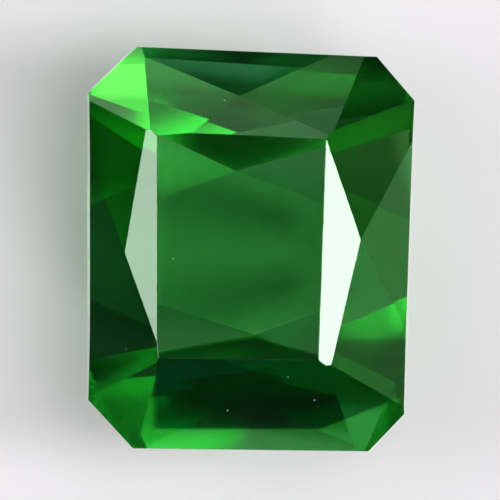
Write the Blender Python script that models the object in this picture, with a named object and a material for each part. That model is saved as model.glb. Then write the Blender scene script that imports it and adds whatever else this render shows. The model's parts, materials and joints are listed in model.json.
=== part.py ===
"""A faceted tourmaline: one natural green crystal, cut as a rectangle with clipped corners.

The stone is made the way a cutter makes it. An oversized rough block is ground flat once for each facet: the
facet's plane is given by the direction it faces, its tilt and a point it has to meet, everything outside the
plane is cut off, and the cut is closed with one flat face. The crown has a table and, on each of its four
sides, an upper, a lower and two side facets that cross at one point. The pavilion is deep and
has a wide flat culet. An end facet rises from the culet towards the head and another towards the foot, four
more facets are folded in between them and the culet at two meeting points, and a row of steep facets climbs
to the girdle.

The stone lies on its culet, so its table faces up.
"""

import math
from collections import namedtuple

import bmesh
import bpy
from mathutils import Matrix, Vector

NAME = "tourmaline"

# All sizes of the stone are in millimetres; it is scaled to metres when it is finished
METRES_PER_MM = 0.001
ROUGH_BLOCK = 12.0
MEET_TOLERANCE = 0.004

# Heights over the girdle's upper edge, with the stone's table facing up
TABLE_HEIGHT = 0.91
GIRDLE_DEPTH = 0.20

# The outline: the direction each wall of the girdle faces, in degrees from the stone's head (+Y) turning
# towards +X, its distance from the middle at its upper edge, and its slope, 90 degrees being upright
Wall = namedtuple("Wall", "azimuth reach slope")
GIRDLE = {
    "head": Wall(2.4, 3.42, 88.0),
    "head right": Wall(49.3, 3.85, 86.0),
    "right": Wall(92.0, 2.77, 80.0),
    "foot right": Wall(133.4, 3.89, 80.0),
    "foot": Wall(180.7, 3.46, 88.0),
    "foot left": Wall(227.5, 3.79, 86.0),
    "left": Wall(270.0, 2.74, 76.0),
    "head left": Wall(315.6, 3.84, 76.0),
}

# The four sides of the crown: the distance from the middle to the table's edge, the tilts of the upper and the
# lower facet, how far the crossing point lies along the side (clockwise), and the two side facets, each
# as its turn away from the side's own direction (clockwise) and its tilt
Side = namedtuple("Side", "table_reach upper_tilt lower_tilt crossing_along side_facets")
CROWN_SIDES = {
    "head": Side(1.96, 26.0, 36.5, -0.27, ((-6.6, 29.6), (5.0, 32.3))),
    "right": Side(1.27, 22.5, 37.1, -0.24, ((-6.9, 31.4), (4.3, 33.8))),
    "foot": Side(1.89, 24.6, 34.1, 0.055, ((-5.1, 29.0), (3.4, 31.2))),
    "left": Side(1.57, 30.3, 43.7, -0.05, ((-5.4, 38.5), (3.0, 40.0))),
}

# The crown's corner facets: direction, tilt, and how far below the girdle's upper edge each one meets its wall
Corner = namedtuple("Corner", "azimuth tilt drop")
CROWN_CORNERS = {
    "head left": Corner(311.1, 38.2, 0.07),
    "head right": Corner(42.9, 33.0, 0.08),
    "foot right": Corner(130.2, 31.9, 0.10),
    "foot left": Corner(233.9, 36.9, 0.08),
}

# The pavilion's depth, and its two meeting points on the culet, to +X and to +Y
PAVILION_DEPTH = 2.75
MEETING_POINTS = {
    "head": Vector((-0.22, 1.37, -PAVILION_DEPTH)),
    "foot": Vector((0.12, -1.48, -PAVILION_DEPTH)),
}

# The facets that follow each other from the head to the foot: the direction each one faces and its tilt
Facet = namedtuple("Facet", "azimuth tilt")
PAVILION_CHAIN = {
    "head end": Facet(359.8, 44.9),
    "culet": Facet(180.0, 0.0),
    "foot end": Facet(174.8, 47.0),
}

# The facets folded in at the sides: the meeting point that each one comes to, the direction of its edge
# with the culet there, and the direction of its edge with the end facet
Fold = namedtuple("Fold", "point culet_edge end_edge")
PAVILION_FOLDS = {
    "head left": Fold("head", 249.4, 294.9),
    "head right": Fold("head", 110.3, 75.0),
    "foot left": Fold("foot", 287.4, 260.3),
    "foot right": Fold("foot", 69.8, 111.2),
}

# The tilts of the pavilion's steeper facets, which meet the girdle's lower edge
PAVILION_EDGE_TILTS = {
    "head": 61.1,
    "head right": 80.8,
    "right": 73.7,
    "foot right": 61.1,
    "foot": 75.0,
    "foot left": 68.0,
    "left": 78.7,
    "head left": 70.5,
}

REST_FACET = "culet"

# The finish, as a plain stand-in: clear green, polished
COLOUR = (0.02, 0.22, 0.05, 1.0)
POLISH_ROUGHNESS = 0.02
REFRACTIVE_INDEX = 1.63


def outward(azimuth):
    """The level direction that faces azimuth degrees, clockwise from +Y."""
    turn = math.radians(azimuth)
    return Vector((math.sin(turn), math.cos(turn), 0.0))


def clockwise(azimuth):
    """The level direction along a side that faces azimuth, going clockwise round the stone."""
    return outward(azimuth + 90.0)


def facing(azimuth, tilt, down=False):
    """The outward direction of a facet: level facets have tilt 0, upright ones 90."""
    slope = math.radians(tilt)
    rise = -math.cos(slope) if down else math.cos(slope)
    return outward(azimuth) * math.sin(slope) + Vector((0.0, 0.0, rise))


def grind(stone, direction, point):
    """Cut off all that lies outside the plane through the point, and close the cut with one flat face."""
    geometry = stone.verts[:] + stone.edges[:] + stone.faces[:]
    cut = bmesh.ops.bisect_plane(
        stone, geom=geometry, dist=1e-6, plane_co=point, plane_no=direction, clear_outer=True
    )
    rim = [item for item in cut["geom_cut"] if isinstance(item, bmesh.types.BMEdge)]
    bmesh.ops.contextual_create(stone, geom=rim)


def wall_point(name):
    """A point on the upper edge of a girdle wall, level with the middle of the stone."""
    wall = GIRDLE[name]
    return outward(wall.azimuth) * wall.reach


def outline_corner(first, second):
    """Where the upper edges of two girdle walls meet, from the two lines' equations."""
    a, b = GIRDLE[first], GIRDLE[second]
    normals = Matrix((outward(a.azimuth).xy, outward(b.azimuth).xy))
    meet = normals.inverted() @ Vector((a.reach, b.reach))
    return meet.to_3d()


def corner_middle(name):
    """The middle of the upper edge of one of the outline's clipped corners."""
    order = list(GIRDLE)
    place = order.index(name)
    before, after = order[place - 1], order[(place + 1) % len(order)]
    return (outline_corner(before, name) + outline_corner(name, after)) / 2


def grind_girdle(stone):
    for name, wall in GIRDLE.items():
        grind(stone, facing(wall.azimuth, wall.slope), wall_point(name))


def crossing_point(azimuth, girdle_reach, side):
    """Where a side's upper and lower facets meet, at the side's own place along that line."""
    upper = math.tan(math.radians(side.upper_tilt))
    lower = math.tan(math.radians(side.lower_tilt))
    reach = (lower * girdle_reach - upper * side.table_reach - TABLE_HEIGHT) / (lower - upper)
    height = TABLE_HEIGHT - upper * (reach - side.table_reach)
    return outward(azimuth) * reach + clockwise(azimuth) * side.crossing_along + Vector((0.0, 0.0, height))


def grind_crown(stone):
    grind(stone, Vector((0.0, 0.0, 1.0)), Vector((0.0, 0.0, TABLE_HEIGHT)))
    for name, side in CROWN_SIDES.items():
        azimuth = GIRDLE[name].azimuth
        crossing = crossing_point(azimuth, GIRDLE[name].reach, side)
        grind(stone, facing(azimuth, side.upper_tilt), crossing)
        grind(stone, facing(azimuth, side.lower_tilt), crossing)
        for turn, tilt in side.side_facets:
            grind(stone, facing(azimuth + turn, tilt), crossing)
    for name, corner in CROWN_CORNERS.items():
        drop = Vector((0.0, 0.0, corner.drop))
        grind(stone, facing(corner.azimuth, corner.tilt), corner_middle(name) - drop)


def climb(facet):
    """How much a pavilion facet rises for each millimetre towards +X and +Y."""
    return outward(facet.azimuth).xy * math.tan(math.radians(facet.tilt))


def folded_climb(fold):
    """The climb of a facet that rises along each of its two edges just as the facet beyond that edge does."""
    edges = [outward(fold.culet_edge).xy, outward(fold.end_edge).xy]
    beyond = [PAVILION_CHAIN["culet"], PAVILION_CHAIN[f"{fold.point} end"]]
    rises = Vector([edge.dot(climb(facet)) for edge, facet in zip(edges, beyond)])
    return Matrix(edges).inverted() @ rises


def underside(rise):
    """The outward direction of a pavilion facet that climbs so."""
    return Vector((rise.x, rise.y, -1.0)).normalized()


def grind_pavilion(stone):
    for name, facet in PAVILION_CHAIN.items():
        point = "foot" if name == "foot end" else "head"
        grind(stone, underside(climb(facet)), MEETING_POINTS[point])
    for fold in PAVILION_FOLDS.values():
        grind(stone, underside(folded_climb(fold)), MEETING_POINTS[fold.point])
    for name, tilt in PAVILION_EDGE_TILTS.items():
        wall = GIRDLE[name]
        flare = GIRDLE_DEPTH / math.tan(math.radians(wall.slope))
        lower_edge = wall_point(name) + outward(wall.azimuth) * flare - Vector((0.0, 0.0, GIRDLE_DEPTH))
        grind(stone, facing(wall.azimuth, tilt, down=True), lower_edge)


def cut_stone():
    """Grind the rough block into the stone, with its table facing up and the girdle's upper edge at zero."""
    stone = bmesh.new()
    bmesh.ops.create_cube(stone, size=ROUGH_BLOCK)
    grind_girdle(stone)
    grind_crown(stone)
    grind_pavilion(stone)
    bmesh.ops.remove_doubles(stone, verts=stone.verts, dist=MEET_TOLERANCE)
    bmesh.ops.recalc_face_normals(stone, faces=stone.faces)
    return stone


def lay_down(stone):
    """Turn the stone onto its resting facet, then set the middle of its base on the origin."""
    face = underside(climb(PAVILION_CHAIN[REST_FACET]))
    turn = face.rotation_difference(Vector((0.0, 0.0, -1.0))).to_matrix()
    bmesh.ops.rotate(stone, verts=stone.verts, matrix=turn)
    low = Vector([min(vert.co[axis] for vert in stone.verts) for axis in range(3)])
    high = Vector([max(vert.co[axis] for vert in stone.verts) for axis in range(3)])
    base = Vector(((low.x + high.x) / 2, (low.y + high.y) / 2, low.z))
    bmesh.ops.translate(stone, verts=stone.verts, vec=-base)


def polished_crystal():
    material = bpy.data.materials.new(NAME)
    material.use_nodes = True
    shader = material.node_tree.nodes["Principled BSDF"]
    shader.inputs["Base Color"].default_value = COLOUR
    shader.inputs["Metallic"].default_value = 0.0
    shader.inputs["Roughness"].default_value = POLISH_ROUGHNESS
    shader.inputs["Transmission Weight"].default_value = 1.0
    shader.inputs["IOR"].default_value = REFRACTIVE_INDEX
    return material


def build():
    for leftover in list(bpy.data.objects):
        bpy.data.objects.remove(leftover, do_unlink=True)
    stone = cut_stone()
    lay_down(stone)
    bmesh.ops.scale(stone, verts=stone.verts, vec=Vector((METRES_PER_MM,) * 3))
    mesh = bpy.data.meshes.new(NAME)
    stone.to_mesh(mesh)
    stone.free()
    mesh.materials.append(polished_crystal())
    bpy.context.scene.collection.objects.link(bpy.data.objects.new(NAME, mesh))


build()
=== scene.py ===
"""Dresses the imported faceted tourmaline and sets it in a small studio, laid out as a Blender add-on."""

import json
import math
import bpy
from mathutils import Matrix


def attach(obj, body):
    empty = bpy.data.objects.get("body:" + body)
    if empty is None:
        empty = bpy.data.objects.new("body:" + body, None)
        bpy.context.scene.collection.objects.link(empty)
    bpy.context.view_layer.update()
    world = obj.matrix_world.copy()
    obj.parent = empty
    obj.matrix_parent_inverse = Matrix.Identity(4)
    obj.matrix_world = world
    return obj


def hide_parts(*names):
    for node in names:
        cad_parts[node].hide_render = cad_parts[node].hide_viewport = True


bl_info = {
    "name": "Faceted tourmaline",
    "version": (1, 0, 0),
    "blender": (4, 5, 0),
    "location": "View3D > Sidebar > Tourmaline",
    "description": "Finishes a cut green tourmaline and lights it as a loose stone on a pale table",
    "category": "Object",
}

from collections import namedtuple

import bmesh
import bpy
import numpy as np
from mathutils import Matrix, Vector

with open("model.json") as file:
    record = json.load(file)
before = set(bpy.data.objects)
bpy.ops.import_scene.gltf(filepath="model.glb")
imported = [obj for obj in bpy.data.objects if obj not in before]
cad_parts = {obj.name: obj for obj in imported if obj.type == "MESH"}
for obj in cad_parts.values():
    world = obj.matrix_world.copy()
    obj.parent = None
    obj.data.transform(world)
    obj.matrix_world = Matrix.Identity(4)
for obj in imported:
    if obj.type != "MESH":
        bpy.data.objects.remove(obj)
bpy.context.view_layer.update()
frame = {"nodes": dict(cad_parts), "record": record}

MM = 0.001
STONE = "tourmaline"
WHITE = (1.0, 1.0, 1.0, 1.0)


def mount_axis(name):
    """The outward direction of one of the record's flat faces."""
    mount = next(item for item in frame["record"]["mounts"] if item["name"] == name)
    return Vector(mount["axis"]).normalized()


TABLE_NORMAL = mount_axis("table")


# Settings

class TourmalineStone(bpy.types.PropertyGroup):
    """Sizes and finish of the stone."""

    edge_wear: bpy.props.FloatProperty(
        name="Edge wear", description="Width of the worn line along each facet edge",
        default=0.006 * MM, unit="LENGTH", precision=6)
    body_colour: bpy.props.FloatVectorProperty(
        name="Body colour", description="Colour that the crystal passes; deeper where the path is longer",
        default=(0.44, 0.86, 0.50), subtype="COLOR", min=0.0, max=1.0)
    depth_of_colour: bpy.props.FloatProperty(
        name="Depth of colour", description="Absorption for each metre of crystal", default=800.0, min=0.0)
    refractive_index: bpy.props.FloatProperty(
        name="Refractive index", description="How strongly the crystal bends light", default=1.63, min=1.0)
    polish: bpy.props.FloatProperty(
        name="Polish roughness", description="Roughness of the polished facets",
        default=0.0, subtype="FACTOR", min=0.0, max=1.0)
    inner_softness: bpy.props.FloatProperty(
        name="Inner softness", description="Roughness added where light meets the facets from inside",
        default=0.15, subtype="FACTOR", min=0.0, max=1.0)
    gloss_tint: bpy.props.FloatVectorProperty(
        name="Gloss tint", description="Colour of what the facets mirror",
        default=(0.80, 0.95, 0.82), subtype="COLOR", min=0.0, max=1.0)
    girdle_frost: bpy.props.FloatProperty(
        name="Girdle frost", description="Roughness added on the ground girdle",
        default=0.42, subtype="FACTOR", min=0.0, max=1.0)


class TourmalineStudio(bpy.types.PropertyGroup):
    """The table top, the lights and the camera."""

    floor_colour: bpy.props.FloatVectorProperty(
        name="Table top", description="Colour of the pale table top",
        default=(0.84, 0.81, 0.84), subtype="COLOR", min=0.0, max=1.0)
    sky: bpy.props.FloatProperty(
        name="Surround", description="Brightness of the soft light from all round", default=0.02, min=0.0)
    lens: bpy.props.FloatProperty(
        name="Lens", description="Focal length in millimetres", default=800.0, unit="CAMERA")


# Shader maths

class Value:
    """An output of a node tree; arithmetic on it adds Math nodes, and node() adds any other kind."""

    def __init__(self, tree, socket=None):
        self.tree = tree
        self.socket = socket

    def node(self, kind, settings=None, inputs=None, output=0):
        """Add a node: its settings first, then a number, a colour or a link for each named input."""
        node = self.tree.nodes.new(kind)
        for name, setting in (settings or {}).items():
            setattr(node, name, setting)
        for name, given in (inputs or {}).items():
            if isinstance(given, Value):
                self.tree.links.new(given.socket, node.inputs[name])
            else:
                node.inputs[name].default_value = given
        return Value(self.tree, node.outputs[output])

    def maths(self, operation, *numbers):
        return self.node("ShaderNodeMath", {"operation": operation}, dict(enumerate(numbers)))

    def __add__(self, other):
        return self.maths("ADD", self, other)

    def __radd__(self, other):
        return self.maths("ADD", other, self)

    def __sub__(self, other):
        return self.maths("SUBTRACT", self, other)

    def __rsub__(self, other):
        return self.maths("SUBTRACT", other, self)

    def __mul__(self, other):
        return self.maths("MULTIPLY", self, other)

    def __rmul__(self, other):
        return self.maths("MULTIPLY", other, self)

    def __truediv__(self, other):
        return self.maths("DIVIDE", self, other)

    def __rtruediv__(self, other):
        return self.maths("DIVIDE", other, self)

    def sine(self):
        return self.maths("SINE", self)

    def absolute(self):
        return self.maths("ABSOLUTE", self)

    def squared(self):
        return self * self

    def larger(self, other):
        return self.maths("MAXIMUM", self, other)

    def part(self, axis):
        """One of the three numbers of a vector or colour."""
        return self.node("ShaderNodeSeparateXYZ", None, {"Vector": self}, output=axis)

    def face_value(self, name):
        """The number that each face carries under the name."""
        return self.node("ShaderNodeAttribute", {"attribute_name": name}, output="Fac")

    def times(self, other):
        """The product of two colours."""
        return self.node("ShaderNodeVectorMath", {"operation": "MULTIPLY"}, {0: self, 1: other})

    def blend(self, factor, first, second):
        """A mix of two colours: the first where the factor is 0, the second where it is 1."""
        settings = {"data_type": "RGBA"}
        return self.node("ShaderNodeMix", settings, {0: factor, 6: first, 7: second}, output=2)

    def between(self, low, high, kind="SMOOTHSTEP", top=1.0):
        """0 at low and before it, the top value at high and beyond it, and a climb between them, smooth if
        nothing else is given. Where low is the larger, the climb runs backwards."""
        settings = {"interpolation_type": kind}
        limits = {"Value": self, "From Min": low, "From Max": high, "To Max": top}
        return self.node("ShaderNodeMapRange", settings, limits)


def new_material(name):
    """An empty node material and a Value to build it with."""
    material = bpy.data.materials.new(name)
    material.use_nodes = True
    material.node_tree.nodes.clear()
    return material, Value(material.node_tree)


def finish_output(shade, surface, volume=None):
    """Join the finished shader, and a volume if there is one, to the material's output."""
    output = shade.tree.nodes.new("ShaderNodeOutputMaterial")
    shade.tree.links.new(surface.socket, output.inputs["Surface"])
    if volume:
        shade.tree.links.new(volume.socket, output.inputs["Volume"])


# Painted shade drawn by place on the crystal, in bands and shades. A pair of places is where a band or shade
# is gone and where it is full

# The culet of the real stone has low folds. Their shade is painted here as two soft bands on a flat culet,
# one on
# either side of a ridge across the stone: where the ridge lies along the stone, how far the bands are from it
# in the middle of the stone's width, and how much nearer they come for each millimetre to the right
RIDGE = -0.05 * MM
BAND_REACH = 0.72 * MM
BAND_CONVERGENCE = 0.24

# How deep the bands of painted shade are at the left, how much deeper they become to the right, from where to
# where they do so, the places across the stone where they end, and their colour
BAND_DEPTH = 0.57
BAND_DEEPENING = 0.24
BAND_DEEPENS = (-1.4 * MM, 1.0 * MM)
BAND_END = (1.26 * MM, 0.42 * MM)
BAND_SHADE_COLOUR = (0.02, 0.06, 0.04, 1.0)

# The bent edge of a shade: its corner (to the right, to the head) and how much it leans away from the stone's
# middle, to the left and to the right of that corner
ShadeEdge = namedtuple("ShadeEdge", "corner left_lean right_lean")
SHADE_SOFTNESS = 0.06 * MM

# The painted shade under the table's head edge, which stands in for the dark that the pavilion mirrors there:
# its edge towards the middle, the places along the stone where it stops, its depth and its colour
HEAD_SHADE = ShadeEdge((-0.25 * MM, 1.39 * MM), 0.44, 0.27)
HEAD_SHADE_STOP = (1.85 * MM, 1.76 * MM)
HEAD_SHADE_DEPTH = 0.80
HEAD_SHADE_COLOUR = (0.0, 0.44, 0.20, 1.0)

# The painted shade across the foot, which stands in for the dark that the pavilion mirrors there: its edge on
# the table, its edge towards the girdle, the places across the stone where it ends at the left, and the
# places along the stone where it starts on the side facets
FOOT_SHADE = ShadeEdge((0.06 * MM, -1.49 * MM), 0.16, 0.27)
FOOT_BAND = ShadeEdge((1.20 * MM, -3.08 * MM), 0.0, -0.40)
FOOT_SHADE_LEFT = (-1.80 * MM, -1.60 * MM)
SIDE_SHADE_START = (-1.50 * MM, -1.60 * MM)

# Its colour, and how deep it is on each crown facet that it reaches
FOOT_SHADE_COLOUR = (0.0, 0.030, 0.045, 1.0)
FOOT_SHADE_DEPTHS = {
    "table": 0.97,
    "foot upper": 1.0,
    "foot side right": 1.0,
    "foot side left": 1.0,
    "foot lower": 1.0,
    "foot right corner": 0.97,
    "right side foot": 0.72,
}


def culet_fold_shade(place):
    """The depth of the painted shade bands: the squared sine of the way from the ridge, with its crest one
    reach from the ridge and its feet on the ridge and two reaches from it, where it ends."""
    across, along = place.part("X"), place.part("Y")
    reach = BAND_REACH - across * BAND_CONVERGENCE
    away = ((along - RIDGE) / reach).between(-2.0, 2.0, kind="LINEAR", top=2.0) - 1.0
    wave = (away * math.pi).sine()
    depth = across.between(*BAND_DEEPENS, kind="LINEAR", top=BAND_DEEPENING) + BAND_DEPTH
    return wave.squared() * depth * across.between(*BAND_END)


def past_edge(place, edge, side):
    """0 on the middle's side of a bent edge and 1 beyond it, with a soft step between. The side is 1 for an
    edge that faces the head and -1 for one that faces the foot."""
    across = place.part("X") - edge.corner[0]
    along = (place.part("Y") - edge.corner[1]) * side
    mean = (edge.left_lean + edge.right_lean) / 2
    skew = (edge.right_lean - edge.left_lean) / 2
    return (along - across.absolute() * mean - across * skew).between(0.0, SHADE_SOFTNESS)


def head_shade(place):
    """The depth of the painted shade that shows through the table's head end, short of the table's edge."""
    return past_edge(place, HEAD_SHADE, 1.0) * place.part("Y").between(*HEAD_SHADE_STOP) * HEAD_SHADE_DEPTH


def foot_shade(place, table):
    """How far a place lies in the painted shade across the foot: on the table past its bent edge, and on the
    other crown facets from its start on the side facets to the band along the girdle that stays light."""
    on_table = past_edge(place, FOOT_SHADE, -1.0) * table
    started = place.part("Y").between(*SIDE_SHADE_START) * place.part("X").between(*FOOT_SHADE_LEFT)
    on_crown = started * (1.0 - past_edge(place, FOOT_BAND, -1.0)) * (1.0 - table)
    return on_table + on_crown


# Materials

# Grains of dust: the cells of their pattern to a metre, the rim and the core of a grain as parts of a cell,
# the range of chance over which a cell comes to hold one, and how much of the crystal a grain hides
SPECK_CELLS = 2500.0
SPECK_SIZE = (0.055, 0.025)
SPECK_CHANCE = (0.50, 0.51)
SPECK_COVER = 0.35

# The ground girdle: the waves of its grain to a metre, their detail, height and strength, how much of the
# crystal the powdery surface hides, and that surface's colour and roughness
GRAIN_SCALE = 42000.0
GRAIN_DETAIL = 3.0
GRAIN_HEIGHT = 0.004 * MM
GRAIN_STRENGTH = 0.6
POWDER_COVER = 0.75
POWDER_COLOUR = (0.78, 0.80, 0.78, 1.0)
POWDER_ROUGHNESS = 0.7

# The table top: the waves of its tooth to a metre, their detail, height and strength, and its roughness
TOOTH_SCALE = 9000.0
TOOTH_DETAIL = 4.0
TOOTH_HEIGHT = 0.01 * MM
TOOTH_STRENGTH = 0.1
CARD_ROUGHNESS = 0.8


def stray_specks(place):
    """Grains of dust: small round dots where the surface passes close to the point of a cell, in about half
    the cells of a three-dimensional pattern."""
    cells = {"Vector": place, "Scale": SPECK_CELLS}
    near = place.node("ShaderNodeTexVoronoi", None, cells, output="Distance")
    chosen = place.node("ShaderNodeTexVoronoi", None, cells, output="Color").part("X")
    return near.between(*SPECK_SIZE) * chosen.between(*SPECK_CHANCE)


def cut_crystal(settings):
    """Polished green crystal with its colour in its volume. Painted light and shade, by facet and by place,
    tints what passes its facets, the girdle is frosted as it was only ground, and a few specks lie on it."""
    material, shade = new_material("cut crystal")
    place = shade.node("ShaderNodeTexCoord", output="Object")
    frost = shade.face_value("girdle")
    inside = shade.node("ShaderNodeNewGeometry", output="Backfacing")
    outside = 1.0 - inside
    grain = shade.node("ShaderNodeTexNoise", None, {
        "Vector": place, "Scale": GRAIN_SCALE, "Detail": GRAIN_DETAIL})
    ground = shade.node("ShaderNodeBump", None, {
        "Strength": frost * GRAIN_STRENGTH, "Distance": GRAIN_HEIGHT, "Height": grain})
    roughness = settings.polish + frost * settings.girdle_frost + inside * settings.inner_softness

    # Crown facets tint on their outer side and pavilion facets on their inner side, with painted light and
    # shade for each facet. The shader takes the root of its colour at each facet, so the painted tone's
    # colour is squared
    painted_tone = shade.node("ShaderNodeAttribute", {"attribute_name": "painted_tone"}, output="Color")
    untinted = (inside - shade.face_value("pavilion")).absolute()
    passed = shade.blend(untinted, painted_tone.times(painted_tone), WHITE)
    # Painted shade drawn by place: bands on the culet for its folds, and shades through the table's head end
    # and across the foot for the dark that the pavilion mirrors there
    passed = shade.blend(culet_fold_shade(place) * shade.face_value("culet") * inside, passed, BAND_SHADE_COLOUR)
    table = shade.face_value("table")
    passed = shade.blend(head_shade(place) * table * outside, passed, HEAD_SHADE_COLOUR)
    at_foot = foot_shade(place, table) * shade.face_value("foot_shade") * outside
    passed = shade.blend(at_foot, passed, FOOT_SHADE_COLOUR)

    crystal = shade.node("ShaderNodeBsdfPrincipled", None, {
        "Base Color": passed,
        "Roughness": roughness,
        "IOR": settings.refractive_index,
        "Transmission Weight": 1.0,
        "Specular Tint": (*settings.gloss_tint, 1.0),
        "Normal": ground,
    })
    powder = shade.node("ShaderNodeBsdfPrincipled", None, {
        "Base Color": POWDER_COLOUR, "Roughness": POWDER_ROUGHNESS, "Normal": ground})
    dusty = (frost * POWDER_COVER).larger(stray_specks(place) * outside * SPECK_COVER)
    surface = shade.node("ShaderNodeMixShader", None, {0: dusty, 1: crystal, 2: powder})
    body = shade.node("ShaderNodeVolumeAbsorption", None, {
        "Color": (*settings.body_colour, 1.0), "Density": settings.depth_of_colour})
    finish_output(shade, surface, body)
    return material


def pale_card(colour):
    """A plain pale table top with a faint tooth."""
    material, shade = new_material("pale card")
    place = shade.node("ShaderNodeTexCoord", output="Object")
    tooth = shade.node("ShaderNodeTexNoise", None, {
        "Vector": place, "Scale": TOOTH_SCALE, "Detail": TOOTH_DETAIL})
    relief = shade.node("ShaderNodeBump", None, {
        "Strength": TOOTH_STRENGTH, "Distance": TOOTH_HEIGHT, "Height": tooth})
    card = shade.node("ShaderNodeBsdfPrincipled", None, {
        "Base Color": (*colour, 1.0), "Roughness": CARD_ROUGHNESS, "Normal": relief})
    finish_output(shade, card)
    return material


# The stone

# Corners of the CAD node's triangles that lie closer than this are one corner, and triangles that meet at
# less than this angle are one facet
MERGE_DISTANCE = 0.0005 * MM
FLAT_ANGLE = math.radians(0.3)

# Facet edges sharper than this angle are worn, with this many strips of faces along each
WORN_ANGLE = math.radians(1.5)
WORN_STRIPS = 2

# The painted light and shade of the facets, which stand in for the lit and shaded surroundings that each
# facet
# shows: the parts of the light's red, green and blue that pass a facet of each tone
PAINTED_FACET_TONES = {
    "clear": (1.0, 1.0, 1.0),
    "lime": (0.85, 1.0, 0.40),
    "light": (0.80, 0.88, 0.92),
    "pale": (1.0, 0.82, 1.0),
    "greyed": (1.0, 0.75, 1.0),
    "mild": (0.62, 0.72, 0.62),
    "moss": (0.45, 0.78, 0.40),
    "middle": (0.50, 0.55, 0.55),
    "slate": (0.42, 0.37, 0.70),
    "olive": (0.25, 0.43, 0.15),
    "deep": (0.20, 0.30, 0.26),
    "dark moss": (0.08, 0.30, 0.08),
    "dark": (0.12, 0.18, 0.18),
}

# The crown facets: the direction each one faces, in degrees clockwise from the head, its tilt, and its
# painted tone of light and shade
CROWN_FACETS = {
    "table": (0.0, 0.0, "pale"),
    "head upper": (2.0, 26.0, "pale"),
    "head side left": (356.0, 29.6, "clear"),
    "head side right": (7.0, 32.3, "mild"),
    "head lower": (2.0, 36.5, "slate"),
    "head left corner": (311.0, 38.0, "lime"),
    "head right corner": (43.0, 33.0, "deep"),
    "right upper": (92.0, 22.5, "clear"),
    "right side head": (85.0, 31.4, "olive"),
    "right side foot": (96.0, 33.8, "clear"),
    "right lower": (92.0, 37.1, "moss"),
    "foot right corner": (130.0, 32.0, "middle"),
    "foot upper": (181.0, 24.6, "middle"),
    "foot side right": (175.6, 29.0, "light"),
    "foot side left": (184.0, 31.2, "middle"),
    "foot lower": (181.0, 34.1, "greyed"),
    "foot left corner": (234.0, 37.0, "deep"),
    "left upper": (270.0, 30.3, "middle"),
    "left side foot": (264.6, 38.5, "dark"),
    "left side head": (273.0, 40.0, "dark moss"),
    "left lower": (270.0, 43.7, "dark"),
}

# The low facets of the pavilion, which face down: direction, tilt from straight down, and painted tone of
# light and shade
PAVILION_FACETS = {
    "culet": (0.0, 0.0, "clear"),
    "fold, foot left": (197.0, 10.5, "middle"),
    "fold, head right": (20.0, 23.8, "light"),
    "fold, head left": (339.0, 30.7, "mild"),
    "fold, foot right": (160.0, 35.8, "middle"),
    "head end": (0.0, 44.9, "clear"),
    "foot end": (175.0, 47.0, "clear"),
}

# How far up a face looks, from 1 for straight up to -1 for straight down: the least on the crown, the most
# on the pavilion and on its low facets, and the least on the table, which with a minus is the most on the
# culet
CROWN_UP = 0.3
PAVILION_UP = -0.1
LOW_PAVILION_UP = -0.55
LEVEL_UP = 0.9999


def merged_copy(node):
    """The CAD node's loose triangles joined into one closed surface with one face for each flat facet."""
    shape = bmesh.new()
    shape.from_mesh(node.data)
    bmesh.ops.remove_doubles(shape, verts=shape.verts, dist=MERGE_DISTANCE)
    bmesh.ops.dissolve_limit(
        shape, angle_limit=FLAT_ANGLE, verts=shape.verts, edges=shape.edges, delimit=set())
    mesh = bpy.data.meshes.new("cut tourmaline")
    shape.to_mesh(mesh)
    shape.free()
    return mesh


def facing(azimuth, tilt):
    """The direction that a facet faces: straight up, tipped by the tilt towards the azimuth."""
    turn, slope = math.radians(azimuth), math.radians(tilt)
    return (math.sin(turn) * math.sin(slope), math.cos(turn) * math.sin(slope), math.cos(slope))


def nearest(normals, facets, flip):
    """For each normal, the number of the named facet whose direction is nearest to it. A flip of -1 turns the
    directions to face down, and 1 leaves them."""
    named = np.array([facing(azimuth, tilt) for azimuth, tilt, _ in facets.values()]) * (1.0, 1.0, flip)
    return np.argmax(normals @ named.T, axis=1)


def mark_facets(mesh):
    """Store what the material needs to know of each face: its painted tone of light and shade, how deep the
    foot's painted shade is on it, and whether it is the table, on the nearly upright girdle, on the pavilion,
    or the culet."""
    count = len(mesh.polygons)
    normals = np.empty(count * 3)
    mesh.polygons.foreach_get("normal", normals)
    normals = normals.reshape(-1, 3)
    up = normals[:, 2]
    crown = up > CROWN_UP
    painted_tones = np.ones((count, 4))
    for here, facets, flip in ((crown, CROWN_FACETS, 1.0), (up < LOW_PAVILION_UP, PAVILION_FACETS, -1.0)):
        tones = np.array([PAINTED_FACET_TONES[painted_tone] for _, _, painted_tone in facets.values()])
        painted_tones[here, :3] = tones[nearest(normals[here], facets, flip)]
    depths = np.array([FOOT_SHADE_DEPTHS.get(name, 0.0) for name in CROWN_FACETS])
    foot_depths = np.zeros(count)
    foot_depths[crown] = depths[nearest(normals[crown], CROWN_FACETS, 1.0)]
    painted_tone = mesh.attributes.new("painted_tone", "FLOAT_COLOR", "FACE")
    painted_tone.data.foreach_set("color", painted_tones.ravel())
    numbers = {
        "table": up > LEVEL_UP,
        "girdle": (up > 0.0) & (up < CROWN_UP),
        "pavilion": up < PAVILION_UP,
        "culet": up < -LEVEL_UP,
        "foot_shade": foot_depths,
    }
    for name, values in numbers.items():
        attribute = mesh.attributes.new(name, "FLOAT", "FACE")
        attribute.data.foreach_set("value", values.astype(float))


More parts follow.
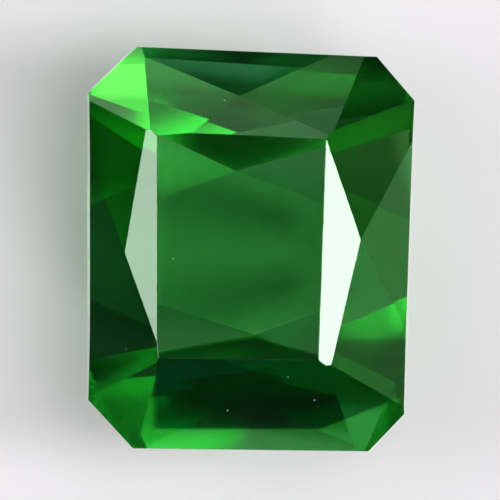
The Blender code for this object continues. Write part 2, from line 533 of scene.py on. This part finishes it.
class TOURMALINE_OT_stone(bpy.types.Operator):
    """Make the cut stone from its CAD node, with worn facet edges and a frosted girdle"""

    bl_idname = "tourmaline.stone"
    bl_label = "Cut stone"

    def execute(self, context):
        settings = context.scene.tourmaline_stone
        mesh = merged_copy(frame["nodes"][STONE])
        mark_facets(mesh)
        mesh.materials.append(cut_crystal(settings))
        stone = bpy.data.objects.new("cut_tourmaline", mesh)
        context.scene.collection.objects.link(stone)
        wear = stone.modifiers.new("edge wear", "BEVEL")
        wear.width = settings.edge_wear
        wear.segments = WORN_STRIPS
        wear.limit_method = "ANGLE"
        wear.angle_limit = WORN_ANGLE
        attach(stone, "root")
        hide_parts(STONE)
        return {"FINISHED"}


# The studio

# The table top: its side and how high its far edge curves up, in metres, the part of the way from the middle
# to that edge after which it curves, how far it lies below the stone's resting face, and its numbers of faces
TABLE_TOP_SIDE = 1.2
TABLE_TOP_RISE = 0.15
CURVE_START = 0.4
TABLE_TOP_GAP = 0.004 * MM
FACES_ACROSS = 32
FACES_BACK = 64

# Each panel: its direction from the stone (right, to the head, out of the table), its side in metres, and its
# radiance
PANELS = {
    "right panel": ((0.754, -0.026, 0.656), 0.05, 18.5),
    "left panel": ((-0.873, 0.0, 0.488), 0.05, 8.0),
}

# How far the panels are from the point that they face, in the middle of the stone
PANEL_DISTANCE = 0.20
PANEL_AIM = Vector((0.0, 0.0, 2.0 * MM))

# Each glow of the surround: the direction that it comes from, clockwise from the stone's head, its height
# over the table top, both in degrees, and its brightness
GLOWS = {
    "foot right, low": (150.0, 8.0, 9.5),
    "over the head right": (60.0, 68.0, 2.3),
    "over the foot left": (240.0, 68.0, 0.8),
    "over the foot right": (120.0, 68.0, 2.9),
    "left, high": (288.0, 48.0, 1.5),
    "left, low": (300.0, 8.0, 1.2),
    "head left, low": (330.0, 8.0, 2.2),
    "head": (0.0, 38.0, 0.65),
    "right, low": (90.0, 8.0, 0.5),
    "foot, level": (180.0, 0.0, 1.2),
}

# A glow is full up to the first angle from its middle and gone at the second, in degrees
GLOW_FULL = 6.0
GLOW_FADED = 22.0

# The photograph in pixels: its side, and the middle and the width of the box round the stone's outline
PICTURE_SIDE = 500.0
BOX_MIDDLE = (251.5, 249.0)
BOX_WIDTH = 329.0

# The camera: its sensor's width in millimetres, how far below the table the outline lies, and what it can see
SENSOR_WIDTH = 36.0
OUTLINE_DEPTH = 1.0 * MM
NEAREST_SEEN = 0.001
FARTHEST_SEEN = 10.0


def table_top(side, rise):
    """A flat square whose far edge curves up: the height is rise times the square of the way back along the
    curve."""
    columns, rows = FACES_ACROSS + 1, FACES_BACK + 1
    across, back = np.meshgrid(np.linspace(-1.0, 1.0, columns), np.linspace(-1.0, 1.0, rows))
    curve = np.clip((back - CURVE_START) / (1.0 - CURVE_START), 0.0, None) ** 2
    heights = curve * rise - TABLE_TOP_GAP
    points = np.stack([across * side / 2, back * side / 2, heights], -1).reshape(-1, 3)
    corner = (np.arange(FACES_BACK)[:, None] * columns + np.arange(FACES_ACROSS)).ravel()
    quads = np.stack([corner, corner + 1, corner + 1 + columns, corner + columns], 1)
    mesh = bpy.data.meshes.new("table top")
    mesh.from_pydata(points.tolist(), [], quads.tolist())
    return mesh


def softbox(name, direction, side, radiance):
    """A square light panel in a direction from the stone, facing it, of an even radiance."""
    data = bpy.data.lights.new(name, "AREA")
    data.shape = "SQUARE"
    data.size = side
    data.energy = radiance * math.pi * side * side
    light = bpy.data.objects.new(name, data)
    place = Vector(direction).normalized()
    light.rotation_mode = "QUATERNION"
    light.rotation_quaternion = place.to_track_quat("Z", "Y")
    light.location = place * PANEL_DISTANCE + PANEL_AIM
    light.visible_camera = False
    bpy.context.scene.collection.objects.link(light)


def stone_direction(right, up, out):
    """A direction given to the right, to the head and out of the table, turned with the lying stone."""
    turn = Vector((0.0, 0.0, 1.0)).rotation_difference(TABLE_NORMAL).to_matrix()
    return turn @ Vector((right, up, out))


def surround(base):
    """Dim light from all round with soft glows in it. Straight overhead stays dim, so that the table is
    clear."""
    world = bpy.data.worlds.new("surround")
    world.use_nodes = True
    world.node_tree.nodes.clear()
    shade = Value(world.node_tree)
    direction = shade.node("ShaderNodeTexCoord", output="Generated")

    light = base
    for azimuth, height, brightness in GLOWS.values():
        along = shade.node("ShaderNodeVectorMath", {"operation": "DOT_PRODUCT"},
                           {0: direction, 1: facing(azimuth, 90.0 - height)}, output="Value")
        glow = along.between(math.cos(math.radians(GLOW_FADED)), math.cos(math.radians(GLOW_FULL)))
        light = light + glow * brightness
    background = shade.node("ShaderNodeBackground", None, {"Color": WHITE, "Strength": light})
    output = world.node_tree.nodes.new("ShaderNodeOutputWorld")
    world.node_tree.links.new(background.socket, output.inputs["Surface"])
    bpy.context.scene.world = world


def photo_camera(stone, lens):
    """Look along the table's normal and set the outline's box where it stands in the photograph."""
    out = TABLE_NORMAL
    right = Vector((0.0, 1.0, 0.0)).cross(out).normalized()
    up = out.cross(right)
    points = np.array([vertex.co for vertex in stone.data.vertices])
    across, along = points @ np.array(right), points @ np.array(up)
    per_pixel = (across.max() - across.min()) / BOX_WIDTH
    distance = per_pixel * PICTURE_SIDE * lens / SENSOR_WIDTH
    middle_x = (across.max() + across.min()) / 2 - (BOX_MIDDLE[0] - PICTURE_SIDE / 2) * per_pixel
    middle_y = (along.max() + along.min()) / 2 + (BOX_MIDDLE[1] - PICTURE_SIDE / 2) * per_pixel
    outline_height = float((points @ np.array(out)).max()) - OUTLINE_DEPTH
    data = bpy.data.cameras.new("camera")
    data.lens = lens
    data.clip_start = NEAREST_SEEN
    data.clip_end = FARTHEST_SEEN
    camera = bpy.data.objects.new("camera", data)
    camera.rotation_mode = "QUATERNION"
    camera.rotation_quaternion = Matrix((right, up, out)).transposed().to_quaternion()
    camera.location = right * middle_x + up * middle_y + out * (outline_height + distance)
    bpy.context.scene.collection.objects.link(camera)
    bpy.context.scene.camera = camera


def allow_bounces(cycles):
    """Let light pass many facets before it is given up, and hold back stray bright dots."""
    cycles.max_bounces = 32
    cycles.transmission_bounces = 32
    cycles.glossy_bounces = 16
    cycles.diffuse_bounces = 3
    cycles.caustics_refractive = True
    cycles.caustics_reflective = True
    cycles.sample_clamp_indirect = 10.0


class TOURMALINE_OT_studio(bpy.types.Operator):
    """Make the table top, the soft lights and the camera"""

    bl_idname = "tourmaline.studio"
    bl_label = "Studio"

    def execute(self, context):
        scene = context.scene
        settings = scene.tourmaline_studio
        floor = bpy.data.objects.new("table_top", table_top(TABLE_TOP_SIDE, TABLE_TOP_RISE))
        floor.data.materials.append(pale_card(settings.floor_colour))
        scene.collection.objects.link(floor)
        for name, (direction, side, radiance) in PANELS.items():
            softbox(name, stone_direction(*direction), side, radiance)
        surround(settings.sky)
        photo_camera(bpy.data.objects["cut_tourmaline"], settings.lens)
        scene.view_settings.view_transform = "Standard"
        allow_bounces(scene.cycles)
        return {"FINISHED"}


class TOURMALINE_PT_panel(bpy.types.Panel):
    """The makers and their settings"""

    bl_idname = "TOURMALINE_PT_panel"
    bl_label = "Tourmaline"
    bl_space_type = "VIEW_3D"
    bl_region_type = "UI"
    bl_category = "Tourmaline"

    def draw(self, context):
        scene = context.scene
        makers = (
            (scene.tourmaline_stone, TourmalineStone, TOURMALINE_OT_stone),
            (scene.tourmaline_studio, TourmalineStudio, TOURMALINE_OT_studio),
        )
        for settings, kind, maker in makers:
            for name in kind.__annotations__:
                self.layout.prop(settings, name)
            self.layout.operator(maker.bl_idname)


CLASSES = (
    TourmalineStone,
    TourmalineStudio,
    TOURMALINE_OT_stone,
    TOURMALINE_OT_studio,
    TOURMALINE_PT_panel,
)


def register():
    for kind in CLASSES:
        bpy.utils.register_class(kind)
    bpy.types.Scene.tourmaline_stone = bpy.props.PointerProperty(type=TourmalineStone)
    bpy.types.Scene.tourmaline_studio = bpy.props.PointerProperty(type=TourmalineStudio)


def unregister():
    del bpy.types.Scene.tourmaline_studio
    del bpy.types.Scene.tourmaline_stone
    for kind in reversed(CLASSES):
        bpy.utils.unregister_class(kind)


def main():
    register()
    bpy.ops.tourmaline.stone()
    bpy.ops.tourmaline.studio()


if __name__ == "__main__":
    main()
